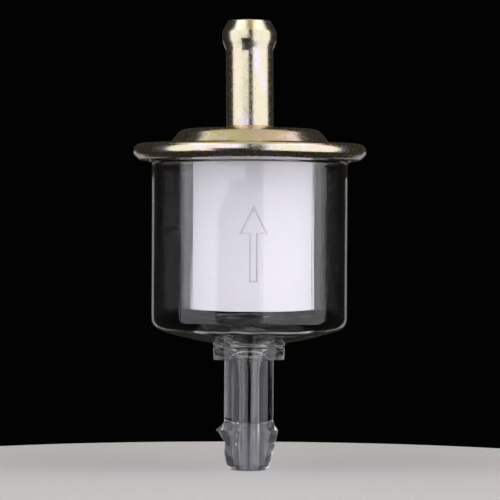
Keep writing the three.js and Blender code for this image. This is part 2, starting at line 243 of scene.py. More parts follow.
class StageSettings(bpy.types.PropertyGroup):
    """Floor, backdrop, lights and camera."""

    floor_radius: mm("Floor radius", "Radius of the round table top", 80)
    floor_thickness: mm("Floor thickness", "Thickness of the table top", 20)
    floor_gap: mm("Floor gap", "Clearance between the table top and the object", 0.05)
    floor_tone: tint("Floor tone", "Pale table top", (0.62, 0.62, 0.63))
    backdrop_tone: tint("Backdrop tone", "Tone behind the object", (0.001, 0.001, 0.001))
    room_tone: tint("Room tone", "Dim light from the rest of the room", (0.032, 0.029, 0.023))
    camera_distance: mm("Camera distance", "From the axis to the camera", 535)
    camera_height: mm("Camera height", "Height of the level camera", 39.6)
    camera_side: mm("Camera offset", "How far the camera stands to the right", 0.1)
    camera_roll: turn("Camera roll", "Roll of the camera", -0.25)
    lens: plain("Lens", "Focal length in millimetres", 214)
    sensor: plain("Sensor", "Width of the sensor in millimetres", 36)
    panel_distance: mm("Panel distance", "From the axis to each soft panel", 420)
    panel_top: mm("Panel top", "Height of each soft panel's upper edge", 860)
    panel_low: mm("Panel bottom", "Height of the lower edge of the soft panels and of the dark card", -260)
    left_from: turn("Left panel from", "Where the left panel starts, from the camera", 4.7)
    left_to: turn("Left panel to", "Where the left panel ends", 88)
    right_from: turn("Right panel from", "Where the right panel starts, from the camera", 15.3)
    right_to: turn("Right panel to", "Where the right panel ends", 98)
    panel_light: plain("Panel light", "Brightness of the side panels' faces", 1.8)
    panel_tone: tint("Panel tone", "Cool light of the side panels", (0.955, 0.935, 1.0))
    ceiling_height: mm("Ceiling height", "Height of the soft ceiling panel", 660)
    ceiling_width: mm("Ceiling width", "Width of the ceiling panel", 800)
    strip_width: mm("Strip width", "Width of the bright strip at each side of the ceiling panel", 70)
    ceiling_depth: mm("Ceiling depth", "Depth of the ceiling panel, from the front to the back", 600)
    ceiling_front: mm("Ceiling offset", "How far in front of the axis the ceiling panel's middle is", 50)
    ceiling_tone: tint("Ceiling tone", "Warm, dimmer light of the ceiling panel", (0.79, 0.72, 0.48))
    edge_from: turn("Edge panels from", "Where the two panels behind start, from the camera", 152)
    edge_to: turn("Edge panels to", "Where the two panels behind end", 165)
    edge_top: mm("Edge panels' top", "Height of the upper edge of the two panels behind", 63)
    edge_light: plain("Edge light", "Brightness of the two panels behind", 0.5)
    fill_size: mm("Fill size", "Width and height of the front fill light", 300)
    fill_height: mm("Fill height", "Height of the front fill light's middle", 10)
    fill_light: plain("Fill light", "Brightness of the front fill light's face", 0.6)
    card_radius: mm("Card radius", "From the axis to the dark card before the left panel", 400)
    card_from: turn("Card from", "Where the dark card starts, from the camera", 4.7)
    card_to: turn("Card to", "Where the dark card ends", 37.4)
    card_high: mm("Card height", "Height of the dark card where it starts", 61.5)
    card_fall: mm("Card shoulder", "How much lower the dark card is where it ends", 11.5)
    card_columns: IntProperty(name="Card columns", description="Strips across the dark card", default=16)
    card_tone: tint("Card tone", "Tone of the dark card", (0.02, 0.02, 0.02))
    steps: IntProperty(name="Round steps", description="Flats round the table top", default=128)


GROUPS = {
    "filter_outlet": OutletSizes,
    "filter_cap": CapSizes,
    "filter_bowl": BowlSizes,
    "filter_arrow": ArrowSizes,
    "filter_element": ElementSizes,
    "filter_finishes": Finishes,
    "filter_stage": StageSettings,
}


# ---------------------------------------------------------------- modelling

def round_corner(bm, vert, radius):
    """Rounds a corner of an outline to a radius."""
    ways = [(edge.other_vert(vert).co - vert.co).normalized() for edge in vert.link_edges]
    bend = math.pi - ways[0].angle(ways[1])
    bmesh.ops.bevel(
        bm,
        geom=[vert],
        offset=radius * math.tan(bend / 2),
        offset_type="ABSOLUTE",
        segments=max(3, round(bend / ARC_STEP)),
        profile=0.5,
        affect="VERTICES",
        clamp_overlap=False,
        material=-1,
    )


def draw_outline(bm, corners, closed=True):
    """Joins corners (r, z, rounding) in the XZ plane and rounds them."""
    verts = [bm.verts.new((r, 0, z)) for r, z, _ in corners]
    pairs = list(zip(verts, verts[1:]))
    if closed:
        pairs.append((verts[-1], verts[0]))
    for pair in pairs:
        bm.edges.new(pair)
    for vert, (_, _, rounding) in zip(verts, corners):
        if rounding:
            round_corner(bm, vert, rounding)


def split_straights(bm, longest):
    """Divides the outline's straight runs so that none is longer than a length."""
    for edge in [e for e in bm.edges if e.calc_length() > longest]:
        cuts = math.ceil(edge.calc_length() / longest) - 1
        bmesh.ops.subdivide_edges(bm, edges=[edge], cuts=cuts)


def spin_outline(bm, steps):
    """Turns everything drawn so far once round the Z axis."""
    bmesh.ops.spin(
        bm,
        geom=bm.verts[:] + bm.edges[:],
        cent=ORIGIN,
        axis=UP,
        dvec=ORIGIN,
        angle=FULL_TURN,
        steps=steps,
        use_merge=True,
        use_duplicate=False,
    )
    bmesh.ops.remove_doubles(bm, verts=bm.verts, dist=CLOSE)
    bmesh.ops.recalc_face_normals(bm, faces=bm.faces)


def turned(corners, steps, longest=None):
    """A closed outline turned into a ring or a disc."""
    bm = bmesh.new()
    draw_outline(bm, corners, closed=all(r > 0 for r, _, _ in corners))
    if longest:
        split_straights(bm, longest)
    spin_outline(bm, steps)
    return bm


def around(vert):
    """A vertex's angle round the axis, from the front (-Y) towards +X."""
    return math.atan2(vert.co.x, -vert.co.y)


def push_out(vert, distance):
    """Moves a vertex away from the axis."""
    radius = math.hypot(vert.co.x, vert.co.y)
    vert.co.x *= 1 + distance / radius
    vert.co.y *= 1 + distance / radius


def bump_at(offset, width):
    """A smooth bump, 1 at the middle."""
    return math.exp(-((offset / width) ** 2))


def shifted(bm, distance):
    """Moves a mesh towards +X."""
    bmesh.ops.translate(bm, verts=bm.verts, vec=(distance, 0, 0))
    return bm


def piece_from(bm, name, material, slot, *nodes, details=()):
    """Makes a finished piece of the mesh. It stands for CAD nodes and rides on the filter's body."""
    for face in bm.faces:
        face.smooth = True
    for edge in bm.edges:
        edge.smooth = edge.calc_face_angle(0) < SHARP_EDGE
    mesh = bpy.data.meshes.new(name)
    bm.to_mesh(mesh)
    bm.free()
    mesh.materials.append(material)
    for detail in details:
        mesh.materials.append(detail)
    piece = bpy.data.objects.new(name, mesh)
    bpy.context.scene.collection.objects.link(piece)
    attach(piece, BODY)
    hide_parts(*nodes)


# ---------------------------------------------------------------- materials

class Surface:
    """A node material with one Principled shader, and short calls to add nodes to it."""

    def __init__(self, name):
        found = bpy.data.materials.get(name)
        self.material = found or bpy.data.materials.new(name)
        self.material.use_nodes = True
        self.tree = self.material.node_tree
        self.tree.nodes.clear()
        self.output = self.tree.nodes.new("ShaderNodeOutputMaterial")
        self.shader = self.tree.nodes.new("ShaderNodeBsdfPrincipled")
        self.tree.links.new(self.shader.outputs["BSDF"], self.output.inputs["Surface"])
        self.where = self.tree.nodes.new("ShaderNodeTexCoord").outputs["Object"]

    def set(self, **values):
        """Sets the shader's own sockets, to a plain value or to another node's output."""
        for name, value in values.items():
            self.feed(self.shader.inputs[name.replace("_", " ").title().replace("Ior", "IOR")], value)

    def feed(self, socket, value):
        if isinstance(value, bpy.types.NodeSocket):
            self.tree.links.new(value, socket)
        else:
            socket.default_value = value

    def stretched(self, x, y, z):
        """Object coordinates times a scale for each axis, in cycles per metre."""
        node = self.tree.nodes.new("ShaderNodeMapping")
        node.inputs["Scale"].default_value = (x, y, z)
        self.tree.links.new(self.where, node.inputs["Vector"])
        return node.outputs["Vector"]

    def lathe(self, around_scale, along):
        """Distance from the axis and height, for marks that run round the axis."""
        flat = self.stretched(1, 1, 0)
        radius = self.tree.nodes.new("ShaderNodeVectorMath")
        radius.operation = "LENGTH"
        self.tree.links.new(flat, radius.inputs[0])
        split = self.tree.nodes.new("ShaderNodeSeparateXYZ")
        self.tree.links.new(self.where, split.inputs[0])
        join = self.tree.nodes.new("ShaderNodeCombineXYZ")
        self.tree.links.new(self.maths("MULTIPLY", radius.outputs["Value"], along), join.inputs[0])
        self.tree.links.new(self.maths("MULTIPLY", split.outputs["Z"], along), join.inputs[1])
        self.tree.links.new(self.maths("MULTIPLY", split.outputs["X"], around_scale), join.inputs[2])
        return join.outputs[0]

    def noise(self, vector, scale=1.0, detail=4.0, roughness=0.55):
        node = self.tree.nodes.new("ShaderNodeTexNoise")
        self.feed(node.inputs["Vector"], vector)
        node.inputs["Scale"].default_value = scale
        node.inputs["Detail"].default_value = detail
        node.inputs["Roughness"].default_value = roughness
        return node.outputs["Fac"]

    def spread(self, value, low, high, to_low=0.0, to_high=1.0):
        """Maps low..high of a value onto another range, and stops at its ends."""
        node = self.tree.nodes.new("ShaderNodeMapRange")
        self.feed(node.inputs["Value"], value)
        node.inputs["From Min"].default_value = low
        node.inputs["From Max"].default_value = high
        node.inputs["To Min"].default_value = to_low
        node.inputs["To Max"].default_value = to_high
        return node.outputs["Result"]

    def mix(self, share, first, second):
        node = self.tree.nodes.new("ShaderNodeMix")
        node.data_type = "RGBA"
        self.feed(node.inputs["Factor"], share)
        self.feed(node.inputs["A"], first if isinstance(first, bpy.types.NodeSocket) else (*first, 1))
        self.feed(node.inputs["B"], second if isinstance(second, bpy.types.NodeSocket) else (*second, 1))
        return node.outputs["Result"]

    def maths(self, operation, first, second):
        node = self.tree.nodes.new("ShaderNodeMath")
        node.operation = operation
        self.feed(node.inputs[0], first)
        self.feed(node.inputs[1], second)
        return node.outputs[0]

    def bump(self, height, depth, below=None):
        """A bump of a depth in metres, on top of another bump."""
        node = self.tree.nodes.new("ShaderNodeBump")
        self.feed(node.inputs["Height"], height)
        node.inputs["Distance"].default_value = depth
        if below:
            self.tree.links.new(below, node.inputs["Normal"])
        return node.outputs["Normal"]


def plated_steel():
    """Yellow chromate on bright zinc: glossy, with rose, green and lilac casts, stains and drawn lines."""
    colours = bpy.context.scene.filter_finishes
    surface = Surface("yellow_zinc_plating")
    cast = surface.noise(surface.stretched(150, 150, 110), detail=3)
    second_cast = surface.noise(surface.stretched(260, 260, 170), detail=2)
    colour = surface.mix(surface.spread(cast, 0.50, 0.64), colours.plating, colours.plating_rose)
    colour = surface.mix(surface.spread(cast, 0.44, 0.30, 0, 0.4), colour, colours.plating_green)
    colour = surface.mix(surface.spread(second_cast, 0.52, 0.64, 0, 0.85), colour, colours.plating_lilac)
    mottle = surface.noise(surface.where, scale=1500, detail=5)
    colour = surface.mix(surface.spread(mottle, 0.60, 0.76, 0, 0.2), colour, colours.stain)
    blotch = surface.noise(surface.where, scale=420, detail=6, roughness=0.65)
    colour = surface.mix(surface.spread(blotch, 0.62, 0.72, 0, 0.25), colour, colours.stain)
    drawn = surface.noise(surface.stretched(5200, 5200, 160), detail=3)
    turned_marks = surface.noise(surface.lathe(60, 5200), detail=3)
    pits = surface.noise(surface.where, scale=2600, detail=4, roughness=0.7)
    normal = surface.bump(drawn, 0.0000025)
    normal = surface.bump(turned_marks, 0.000003, normal)
    normal = surface.bump(pits, 0.000001, normal)
    roughness = surface.spread(mottle, 0.35, 0.7, 0.17, 0.30)
    surface.set(base_color=colour, metallic=1.0, roughness=roughness, normal=normal)
    return surface.material


def braze_filler():
    """Braze filler, duller and browner than the plating round it."""
    colours = bpy.context.scene.filter_finishes
    surface = Surface("braze_filler")
    blotch = surface.noise(surface.where, scale=900, detail=5)
    colour = surface.mix(surface.spread(blotch, 0.4, 0.7), colours.braze, colours.stain)
    normal = surface.bump(surface.noise(surface.where, scale=1800, detail=4), 0.00003)
    roughness = surface.spread(blotch, 0.3, 0.7, 0.28, 0.5)
    surface.set(base_color=colour, metallic=1.0, roughness=roughness, normal=normal)
    return surface.material


def clear_plastic(name, colour, clearness=1.0):
    """Clear moulded plastic with faint flow streaks. Lamps light what is behind it straight through."""
    surface = Surface(name)
    tree = surface.tree
    streaks = surface.noise(surface.stretched(900, 900, 18), detail=3)
    waves = surface.noise(surface.where, scale=130, detail=2)
    threads = surface.noise(surface.stretched(3200, 3200, 26), detail=3)
    normal = surface.bump(streaks, 0.00003)
    normal = surface.bump(threads, 0.000012, normal)
    normal = surface.bump(waves, 0.00003, normal)
    tinted = (*colour, 1)
    surface.set(base_color=tinted, roughness=0.03, ior=1.47, transmission_weight=clearness, normal=normal)
    open_way = tree.nodes.new("ShaderNodeBsdfTransparent")
    open_way.inputs["Color"].default_value = (0.98, 0.98, 0.98, 1)
    rays = tree.nodes.new("ShaderNodeLightPath")
    either = tree.nodes.new("ShaderNodeMixShader")
    straight = surface.maths("MAXIMUM", rays.outputs["Is Shadow Ray"], rays.outputs["Is Diffuse Ray"])
    tree.links.new(straight, either.inputs[0])
    tree.links.new(surface.shader.outputs["BSDF"], either.inputs[1])
    tree.links.new(open_way.outputs["BSDF"], either.inputs[2])
    tree.links.new(either.outputs["Shader"], surface.output.inputs["Surface"])
    return surface.material


def filter_medium():
    """White felted filter medium, matt, with fine fibres."""
    colours = bpy.context.scene.filter_finishes
    surface = Surface("white_filter_medium")
    fibres = surface.noise(surface.stretched(1500, 1500, 3800), detail=6, roughness=0.7)
    clouds = surface.noise(surface.where, scale=260, detail=3)
    patches = surface.spread(clouds, 0.3, 0.7, 0.15, 0.5)
    shade = surface.maths("MULTIPLY", surface.spread(fibres, 0.5, 0.75), patches)
    normal = surface.bump(fibres, 0.00006)
    normal = surface.bump(clouds, 0.0001, normal)
    surface.set(
        base_color=surface.mix(shade, colours.medium, colours.medium_shade),
        roughness=surface.spread(fibres, 0.3, 0.7, 0.82, 0.95),
        sheen_weight=0.15,
        normal=normal,
    )
    return surface.material


def white_plastic():
    """Natural white moulded plastic."""
    colours = bpy.context.scene.filter_finishes
    surface = Surface("natural_white_plastic")
    grain = surface.noise(surface.where, scale=2200, detail=4)
    clouds = surface.noise(surface.where, scale=180, detail=2)
    darker = [0.86 * channel for channel in colours.plastic]
    normal = surface.bump(grain, 0.00002)
    surface.set(
        base_color=surface.mix(surface.spread(clouds, 0.3, 0.7), colours.plastic, darker),
        roughness=surface.spread(grain, 0.3, 0.7, 0.38, 0.52),
        normal=normal,
    )
    return surface.material


def black_rubber():
    """Matt black rubber."""
    colours = bpy.context.scene.filter_finishes
    surface = Surface("black_rubber")
    grain = surface.noise(surface.where, scale=2600, detail=5)
    lighter = [2.4 * channel for channel in colours.rubber]
    normal = surface.bump(grain, 0.00003)
    surface.set(
        base_color=surface.mix(surface.spread(grain, 0.45, 0.8), colours.rubber, lighter),
        roughness=surface.spread(grain, 0.3, 0.7, 0.6, 0.82),
        normal=normal,
    )
    return surface.material


def stage_paint(name, tone):
    """Plain matt paint."""
    surface = Surface(name)
    clouds = surface.noise(surface.where, scale=6, detail=2)
    darker = [0.97 * channel for channel in tone]
    surface.set(base_color=surface.mix(clouds, tone, darker), roughness=0.75)
    return surface.material


# ---------------------------------------------------------------- outlines

def outlet_outline(s, sheet, dome):
    """Half section of the outlet nipple, from its foot up the outside and down the bore."""
    bore = s.stem - s.wall
    groove = s.barb - s.wall
    under = dome - sheet
    swell_low = s.barb_low - s.swell
    bend = 1.5 * MM
    ease = 0.45 * MM
    shoulder = 1.2 * MM
    lip_round = 0.36 * MM
    edge = 0.12 * MM
    return [
        (bore, under - sheet, edge),
        (s.foot, under - sheet, edge),
        (s.foot, under, edge),
        (s.stem, under, 0),
        (s.stem, swell_low + ease, bend),
        (s.barb, s.barb_low - ease, bend),
        (s.barb, s.barb_high, shoulder),
        (s.lip, s.end, lip_round),
        (s.lip_bore, s.end, edge),
        (groove, s.barb_high, 0.5 * MM),
        (groove, s.barb_low, bend),
        (bore, swell_low, bend),
    ]


def cap_outline(s):
    """The cap's outer surface, from the nipple's hole out over the dome and round the rim."""
    corner = s.dome_flat + s.shoulder * math.tan(s.slope / 2)
    foot = corner + (s.dome - s.ring) / math.tan(s.slope)
    lean_in = s.crease - s.rim_bottom
    return [
        (s.hole, s.dome, 0),
        (corner, s.dome, s.shoulder),
        (foot, s.ring, s.foot_fillet),
        (s.rim, s.ring, s.top_bend),
        (s.rim, s.crease, s.crease_bend),
        (s.rim - lean_in, s.rim_bottom, s.bottom_bend),
        (s.rolled_edge, s.rim_bottom, 0),
    ]


def dish_corner(centre, radius, start, end):
    """Where the tangents at both ends of a dished floor's arc cross. Rounded to the radius, it is the arc."""
    first = math.asin(start / radius)
    last = math.asin(end / radius)
    middle = (first + last) / 2
    reach = radius / math.cos((last - first) / 2)
    return reach * math.sin(middle), centre - reach * math.cos(middle), radius


def wall_corner(centre, radius, wall, fillet):
    """Where a dished floor meets a wall: how far out the dish's arc runs, and the corner to round."""
    lean = math.asin((wall - fillet) / (radius - fillet))
    contact = radius * math.sin(lean)
    height = centre - radius * math.cos(lean) + (wall - contact) * math.tan(lean)
    return contact, (wall, height, fillet)


def bowl_outline(s):
    """Half section of the bowl, from the inlet's end up the outside, over the flange and down inside."""
    centre = s.dish_low + s.dish
    dish_start = 6.9 * MM
    start_height = centre - math.sqrt(s.dish**2 - dish_start**2)
    inner_dish = s.dish - s.floor
    inner_wall = s.outer - s.wall
    mouth_height = centre - math.sqrt(inner_dish**2 - s.funnel**2)
    contact, outer_corner = wall_corner(centre, s.dish, s.outer, s.fillet)
    inner_contact, inner_corner = wall_corner(centre, inner_dish, inner_wall, s.inner_fillet)
    edge = 0.15 * MM
    small = 0.1 * MM
    collar_lean = 0.13 * MM
    groove = s.collar - 0.3 * MM
    ridge = s.collar + 0.02 * MM
    ridge_low = s.collar_high + 0.35 * MM
    throat, throat_height = 2.6 * MM, 21.5 * MM
    bore_top = 16.5 * MM
    return [
        (s.bore, 0, 0.2 * MM),
        (s.nose, 0, s.nose_round),
        (s.barb, s.barb_low, 0.25 * MM),
        (s.barb, s.barb_high, 0.2 * MM),
        (s.stem, s.barb_top, 0.7 * MM),
        (s.stem, s.collar_low, 0.12 * MM),
        (s.collar - collar_lean, s.collar_low, edge),
        (s.collar, s.collar_high, edge),
        (groove, s.collar_high + 0.12 * MM, small),
        (groove, ridge_low, small),
        (ridge, ridge_low + small, 0.08 * MM),
        (ridge, start_height - 0.14 * MM, 0.08 * MM),
        (dish_start, start_height, 0.2 * MM),
        dish_corner(centre, s.dish, dish_start + 0.3 * MM, contact),
        outer_corner,
        (s.outer, s.neck_low, 0.25 * MM),
        (s.neck, s.neck_low + 0.3 * MM, edge),
        (s.neck, s.flange_low, edge),
        (s.flange - 0.6 * MM, s.flange_low, edge),
        (s.flange, s.flange_low + 0.6 * MM, edge),
        (s.flange, s.flange_high, edge),
        (inner_wall, s.flange_high, 0.3 * MM),
        inner_corner,
        dish_corner(centre, inner_dish, s.funnel + 0.9 * MM, inner_contact),
        (s.funnel, mouth_height, 1.2 * MM),
        (throat, throat_height, 3 * MM),
        (s.bore, bore_top, 8 * MM),
    ]


def arrow_lines(s, inset):
    """The arrow's sides as (point, direction) pairs in its own plane, moved inwards by an even distance."""
    lean = math.atan2(s.head_half, s.tip - s.head)
    slant = inset / math.sin(lean)
    lines = [((0, s.tail + inset), (1, 0)), ((0, s.head + inset), (1, 0))]
    for side in (-1, 1):
        lines.append(((side * (s.shaft_half - inset), s.head), (0, 1)))
        lines.append(((0, s.tip - slant), (side * math.sin(lean), -math.cos(lean))))
    return lines


def in_arrow(s, across, height, inset):
    """True inside the arrow's outline, moved inwards by an even distance."""
    lean = math.atan2(s.head_half, s.tip - s.head)
    half_head = (s.tip - inset / math.sin(lean) - height) * math.tan(lean)
    in_head = height > s.head + inset and abs(across) < half_head
    in_shaft = s.tail + inset < height <= s.head + inset and abs(across) < s.shaft_half - inset
    return in_head or in_shaft


# ---------------------------------------------------------------- details

def raise_arrow(bm, s, bowl):
    """Cuts the arrow's outline into the bowl's front, and raises it."""
    middle = Vector((math.sin(s.round_axis), -math.cos(s.round_axis), 0))
    sideways = Vector((math.cos(s.round_axis), math.sin(s.round_axis), 0))
    margin = 1 * MM
    facing = 0.9

    def patch():
        for face in bm.faces:
            at = face.calc_center_median()
            on_skin = face.normal.dot(middle) > facing and at.dot(middle) > bowl.outer - margin
            near = abs(at.dot(sideways)) < s.head_half + margin
            if on_skin and near and s.tail - margin < at.z < s.tip + margin:
                yield face

    for inset in (0, s.line):
        for (across, height), (run, rise) in arrow_lines(s, inset):
            faces = list(patch())
            geometry = {g for face in faces for g in (face, *face.edges, *face.verts)}
            bmesh.ops.bisect_plane(
                bm,
                geom=list(geometry),
                dist=CLOSE,
                plane_co=sideways * across + UP * height,
                plane_no=sideways * rise - UP * run,
            )
    band = []
    for face in patch():
        at = face.calc_center_median()
        across = at.dot(sideways)
        if in_arrow(s, across, at.z, 0) and not in_arrow(s, across, at.z, s.line):
            band.append(face)
    for vert in {v for face in patch() for v in face.verts}:
        push_out(vert, bowl.outer - math.hypot(vert.co.x, vert.co.y))
    made = bmesh.ops.inset_region(bm, faces=band, thickness=s.draft, depth=s.proud, use_even_offset=True)
    for face in band + made["faces"]:
        # The raised line's faces take the greyer slot: painted shade standing for the shade and refraction at
        # the line's edges
        face.material_index = PAINTED_SHADE_LINE_FINISH


def tear_barb(bm, s):
    """A spur of flash at the mould's parting line on the barb, and the rough bite torn out beneath."""
    spur_height, spur_width, spur_rise = 7.35 * MM, 0.75 * MM, 0.45 * MM
    bite_height, bite_width, bite_rise = 4.7 * MM, 2.2 * MM, 0.9 * MM
    grain = 0.45 * MM
    for vert in bm.verts:
        radius = math.hypot(vert.co.x, vert.co.y)
        if vert.co.z > s.collar_low or radius < s.bore * OUTSIDE_BORE:
            continue
        across = radius * (around(vert) + math.pi / 2)
        rough = noise.noise(vert.co / grain)
        spur = bump_at(across, spur_width) * bump_at(vert.co.z - spur_height - across * 0.3, spur_rise)
        bite = bump_at(across, bite_width) * bump_at(vert.co.z - bite_height, bite_rise)
        push_out(vert, spur * (0.66 + 0.25 * rough) * MM - bite * (0.72 + 0.3 * rough) * MM)


def wave_floor(bm, s):
    """The slightly uneven moulded floor and lower corner."""
    top = s.dish_low + 7 * MM
    depth = 0.11 * MM
    wavelength = 2.6 * MM
    for vert in bm.verts:
        radius = math.hypot(vert.co.x, vert.co.y)
        if radius > s.collar + 1 * MM and vert.co.z < top:
            share = min(1, (radius - s.collar) / (4 * MM)) * min(1, (top - vert.co.z) / (2 * MM))
            vert.co.z += depth * share * noise.noise(vert.co / wavelength)


def add_bubbles(bm, s, count):
    """Tiny air bubbles in the wall: small shells that face inwards."""
    draw = random.Random(7)
    middle = s.outer - s.wall / 2
    for _ in range(count):
        angle = draw.choice((-1, 1)) * draw.uniform(1.0, 1.9)
        height = draw.uniform(s.dish_low + 6 * MM, s.neck_low - 4 * MM)
        radius = draw.uniform(0.06, 0.14) * MM
        out = middle + draw.uniform(-0.4, 0.4) * MM
        place = Matrix.Translation((out * math.sin(angle), -out * math.cos(angle), height))
        made = bmesh.ops.create_icosphere(bm, subdivisions=2, radius=radius, matrix=place)
        faces = {face for vert in made["verts"] for face in vert.link_faces}
        bmesh.ops.reverse_faces(bm, faces=list(faces))


def mark_crimp(bm, s):
    """Creases pressed into the rim's leaning side, a nick in its front, and a rolled edge's slight waves."""
    runs = [(62, 4), (-112, 4), (170, 4), (-28, 2)]
    pitch = 3.1
    crease_depth, crease_width, crease_rise = 0.09 * MM, 0.33 * MM, 0.6 * MM
    crease_height = s.crease - 0.2 * MM
    nick_depth, nick_width, nick_rise = 0.04 * MM, 0.35 * MM, 0.15 * MM
    nick_height = s.ring - 0.85 * MM
    nick_angle = 0.01
    wave_depth, wavelength = 0.02 * MM, 7 * MM
    for vert in bm.verts:
        radius = math.hypot(vert.co.x, vert.co.y)
        if radius < s.rolled_edge:
            continue
        crease = 0.0
        angle = around(vert)
        for start, count in runs:
            for i in range(count):
                centre = math.radians(start + i * pitch)
                away = (angle - centre + math.pi) % FULL_TURN - math.pi
                crease += bump_at(radius * away, crease_width)
        crease *= bump_at(vert.co.z - crease_height, crease_rise)
        nick = bump_at(radius * (angle - nick_angle), nick_width)
        nick *= bump_at(vert.co.z - nick_height, nick_rise)
        wave = noise.noise(Vector((vert.co.x, vert.co.y, 0)) / wavelength)
        wave *= bump_at(vert.co.z - s.rim_bottom, 1 * MM)
        push_out(vert, -crease_depth * crease - nick_depth * nick - wave_depth * (1 + wave))


def fray_medium(bm, s):
    """The medium's soft surface and the slightly ragged cut of its lower edge."""
    softness, fray = 0.03 * MM, 0.12 * MM
    for vert in bm.verts:
        radius = math.hypot(vert.co.x, vert.co.y)
        if radius < s.bore + 0.2 * MM:
            continue
        soft = noise.noise(vert.co / (2.2 * MM))
        push_out(vert, softness * (soft - 1))
        from_cut = vert.co.z - s.low
        if from_cut < 0.6 * MM:
            ragged = noise.noise(Vector((vert.co.x, vert.co.y, 0)) / (0.7 * MM))
            vert.co.z += fray * (ragged - 0.8)


# ---------------------------------------------------------------- operators

class FILTER_OT_stage(bpy.types.Operator):
    """Makes the pale table, the backdrop, the soft panels and the camera"""

    bl_idname = "filter.stage"
    bl_label = "Stage"

    def execute(self, context):
        s = context.scene.filter_stage
        self.make_floor(s)
        self.make_room(context, s)
        self.make_panel("left_panel", s, -s.left_to, -s.left_from, s.panel_top, s.panel_light)
        self.make_panel("right_panel", s, s.right_from, s.right_to, s.panel_top, s.panel_light)
        for side in (-1, 1):
            ends = sorted((side * s.edge_from, side * s.edge_to))
            edge = self.make_panel("edge_panel", s, *ends, s.edge_top, s.edge_light)
            edge.visible_transmission = False
        self.make_ceiling(s)
        self.make_fill(s)
        self.make_card(s)
        self.make_camera(context, s)
        return {"FINISHED"}

    def make_floor(self, s):
        bm = bmesh.new()
        bmesh.ops.create_circle(bm, cap_ends=True, segments=s.steps, radius=s.floor_radius)
        made = bmesh.ops.extrude_face_region(bm, geom=bm.faces[:])
        lower = [v for v in made["geom"] if isinstance(v, bmesh.types.BMVert)]
        bmesh.ops.translate(bm, verts=lower, vec=(0, 0, -s.floor_thickness))
        bmesh.ops.translate(bm, verts=bm.verts, vec=(0, 0, -s.floor_gap))
        bmesh.ops.recalc_face_normals(bm, faces=bm.faces)
        table = self.set_up(bm, "table_top", stage_paint("table_paint", s.floor_tone))
        table.visible_glossy = False
        table.visible_transmission = False

    def set_up(self, bm, name, paint):
        """Makes an object of the stage from a mesh and a paint."""
        mesh = bpy.data.meshes.new(name)
        bm.to_mesh(mesh)
        bm.free()
        mesh.materials.append(paint)
        thing = bpy.data.objects.new(name, mesh)
        bpy.context.scene.collection.objects.link(thing)
        thing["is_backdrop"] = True
        return thing

    def make_room(self, context, s):
        """Dim room light, with the backdrop's tone where the camera looks past the object."""
        world = bpy.data.worlds.new("room")
        world.use_nodes = True
        tree = world.node_tree
        tree.nodes.clear()
        kinds = ("OutputWorld", "Background", "Background", "MixShader", "LightPath", "Math")
        output, room, backdrop, mix, rays, seen = (tree.nodes.new("ShaderNode" + kind) for kind in kinds)
        seen.operation = "MAXIMUM"
        room.inputs["Color"].default_value = (*s.room_tone, 1)
        backdrop.inputs["Color"].default_value = (*s.backdrop_tone, 1)
        for start, end in (
            (rays.outputs["Is Camera Ray"], seen.inputs[0]),
            (rays.outputs["Is Transmission Ray"], seen.inputs[1]),
            (seen.outputs[0], mix.inputs[0]),
            (room.outputs[0], mix.inputs[1]),
            (backdrop.outputs[0], mix.inputs[2]),
            (mix.outputs[0], output.inputs["Surface"]),
        ):
            tree.links.new(start, end)
        context.scene.world = world
        context.scene.view_settings.view_transform = "Standard"

    def make_panel(self, name, s, start, end, top, light):
        """A soft panel that covers the directions from start to end, from the front towards +X."""
        middle = (start + end) / 2
        half = (end - start) / 2
        width = 2 * s.panel_distance * math.tan(half)
        way = Vector((math.sin(middle), -math.cos(middle), 0))
        panel = self.make_lamp(name, width, top - s.panel_low, s.panel_tone, light)
        panel.location = way * s.panel_distance + UP * (top + s.panel_low) / 2
        panel.rotation_euler = way.to_track_quat("Z", "Y").to_euler()
        return panel

    def make_fill(self, s):
        """A low front light for matt surfaces. Nothing reflects it."""
        fill = self.make_lamp("front_fill", s.fill_size, s.fill_size, (1, 1, 1), s.fill_light)
        fill.location = (0, -s.camera_distance, s.fill_height)
        fill.rotation_euler = (math.pi / 2, 0, 0)
        fill.visible_glossy = False
        fill.visible_transmission = False

    def make_ceiling(self, s):
        """The warm ceiling panel, with a brighter strip at each side."""
        panel = self.make_lamp("ceiling_panel", s.ceiling_width, s.ceiling_depth, s.ceiling_tone, 1)
        panel.location = (0, -s.ceiling_front, s.ceiling_height)
        for side, name in ((-1, "left_strip"), (1, "right_strip")):
            strip = self.make_lamp(name, s.strip_width, s.ceiling_depth, s.panel_tone, s.panel_light)
            across = side * (s.ceiling_width + s.strip_width) / 2
            strip.location = (across, -s.ceiling_front, s.ceiling_height)

    def make_lamp(self, name, width, height, tone, light):
        """A soft rectangular lamp, whose face has a tone times a brightness. It shines along its own -Z."""
        lamp = bpy.data.lights.new(name, "AREA")
        lamp.shape = "RECTANGLE"
        lamp.size = width
        lamp.size_y = height
        lamp.color = tone
        lamp.energy = light * math.pi * width * height
        panel = bpy.data.objects.new(name, lamp)
        bpy.context.scene.collection.objects.link(panel)
        panel.visible_camera = False
        return panel

    def make_card(self, s):
        """A dark card with a round shoulder before the left panel, which the bowl reflects faintly."""
        bm = bmesh.new()
        columns = []
        for i in range(s.card_columns + 1):
            share = i / s.card_columns
            angle = -s.card_from - share * (s.card_to - s.card_from)
            foot = Vector((math.sin(angle), -math.cos(angle), 0)) * s.card_radius + UP * s.panel_low
            head = foot.copy()
            head.z = s.card_high - s.card_fall * share**3
            columns.append((bm.verts.new(foot), bm.verts.new(head)))
        for (foot, head), (next_foot, next_head) in zip(columns, columns[1:]):
            bm.faces.new((foot, next_foot, next_head, head))
        card = self.set_up(bm, "dark_card", stage_paint("card_paint", s.card_tone))
        card.visible_camera = False

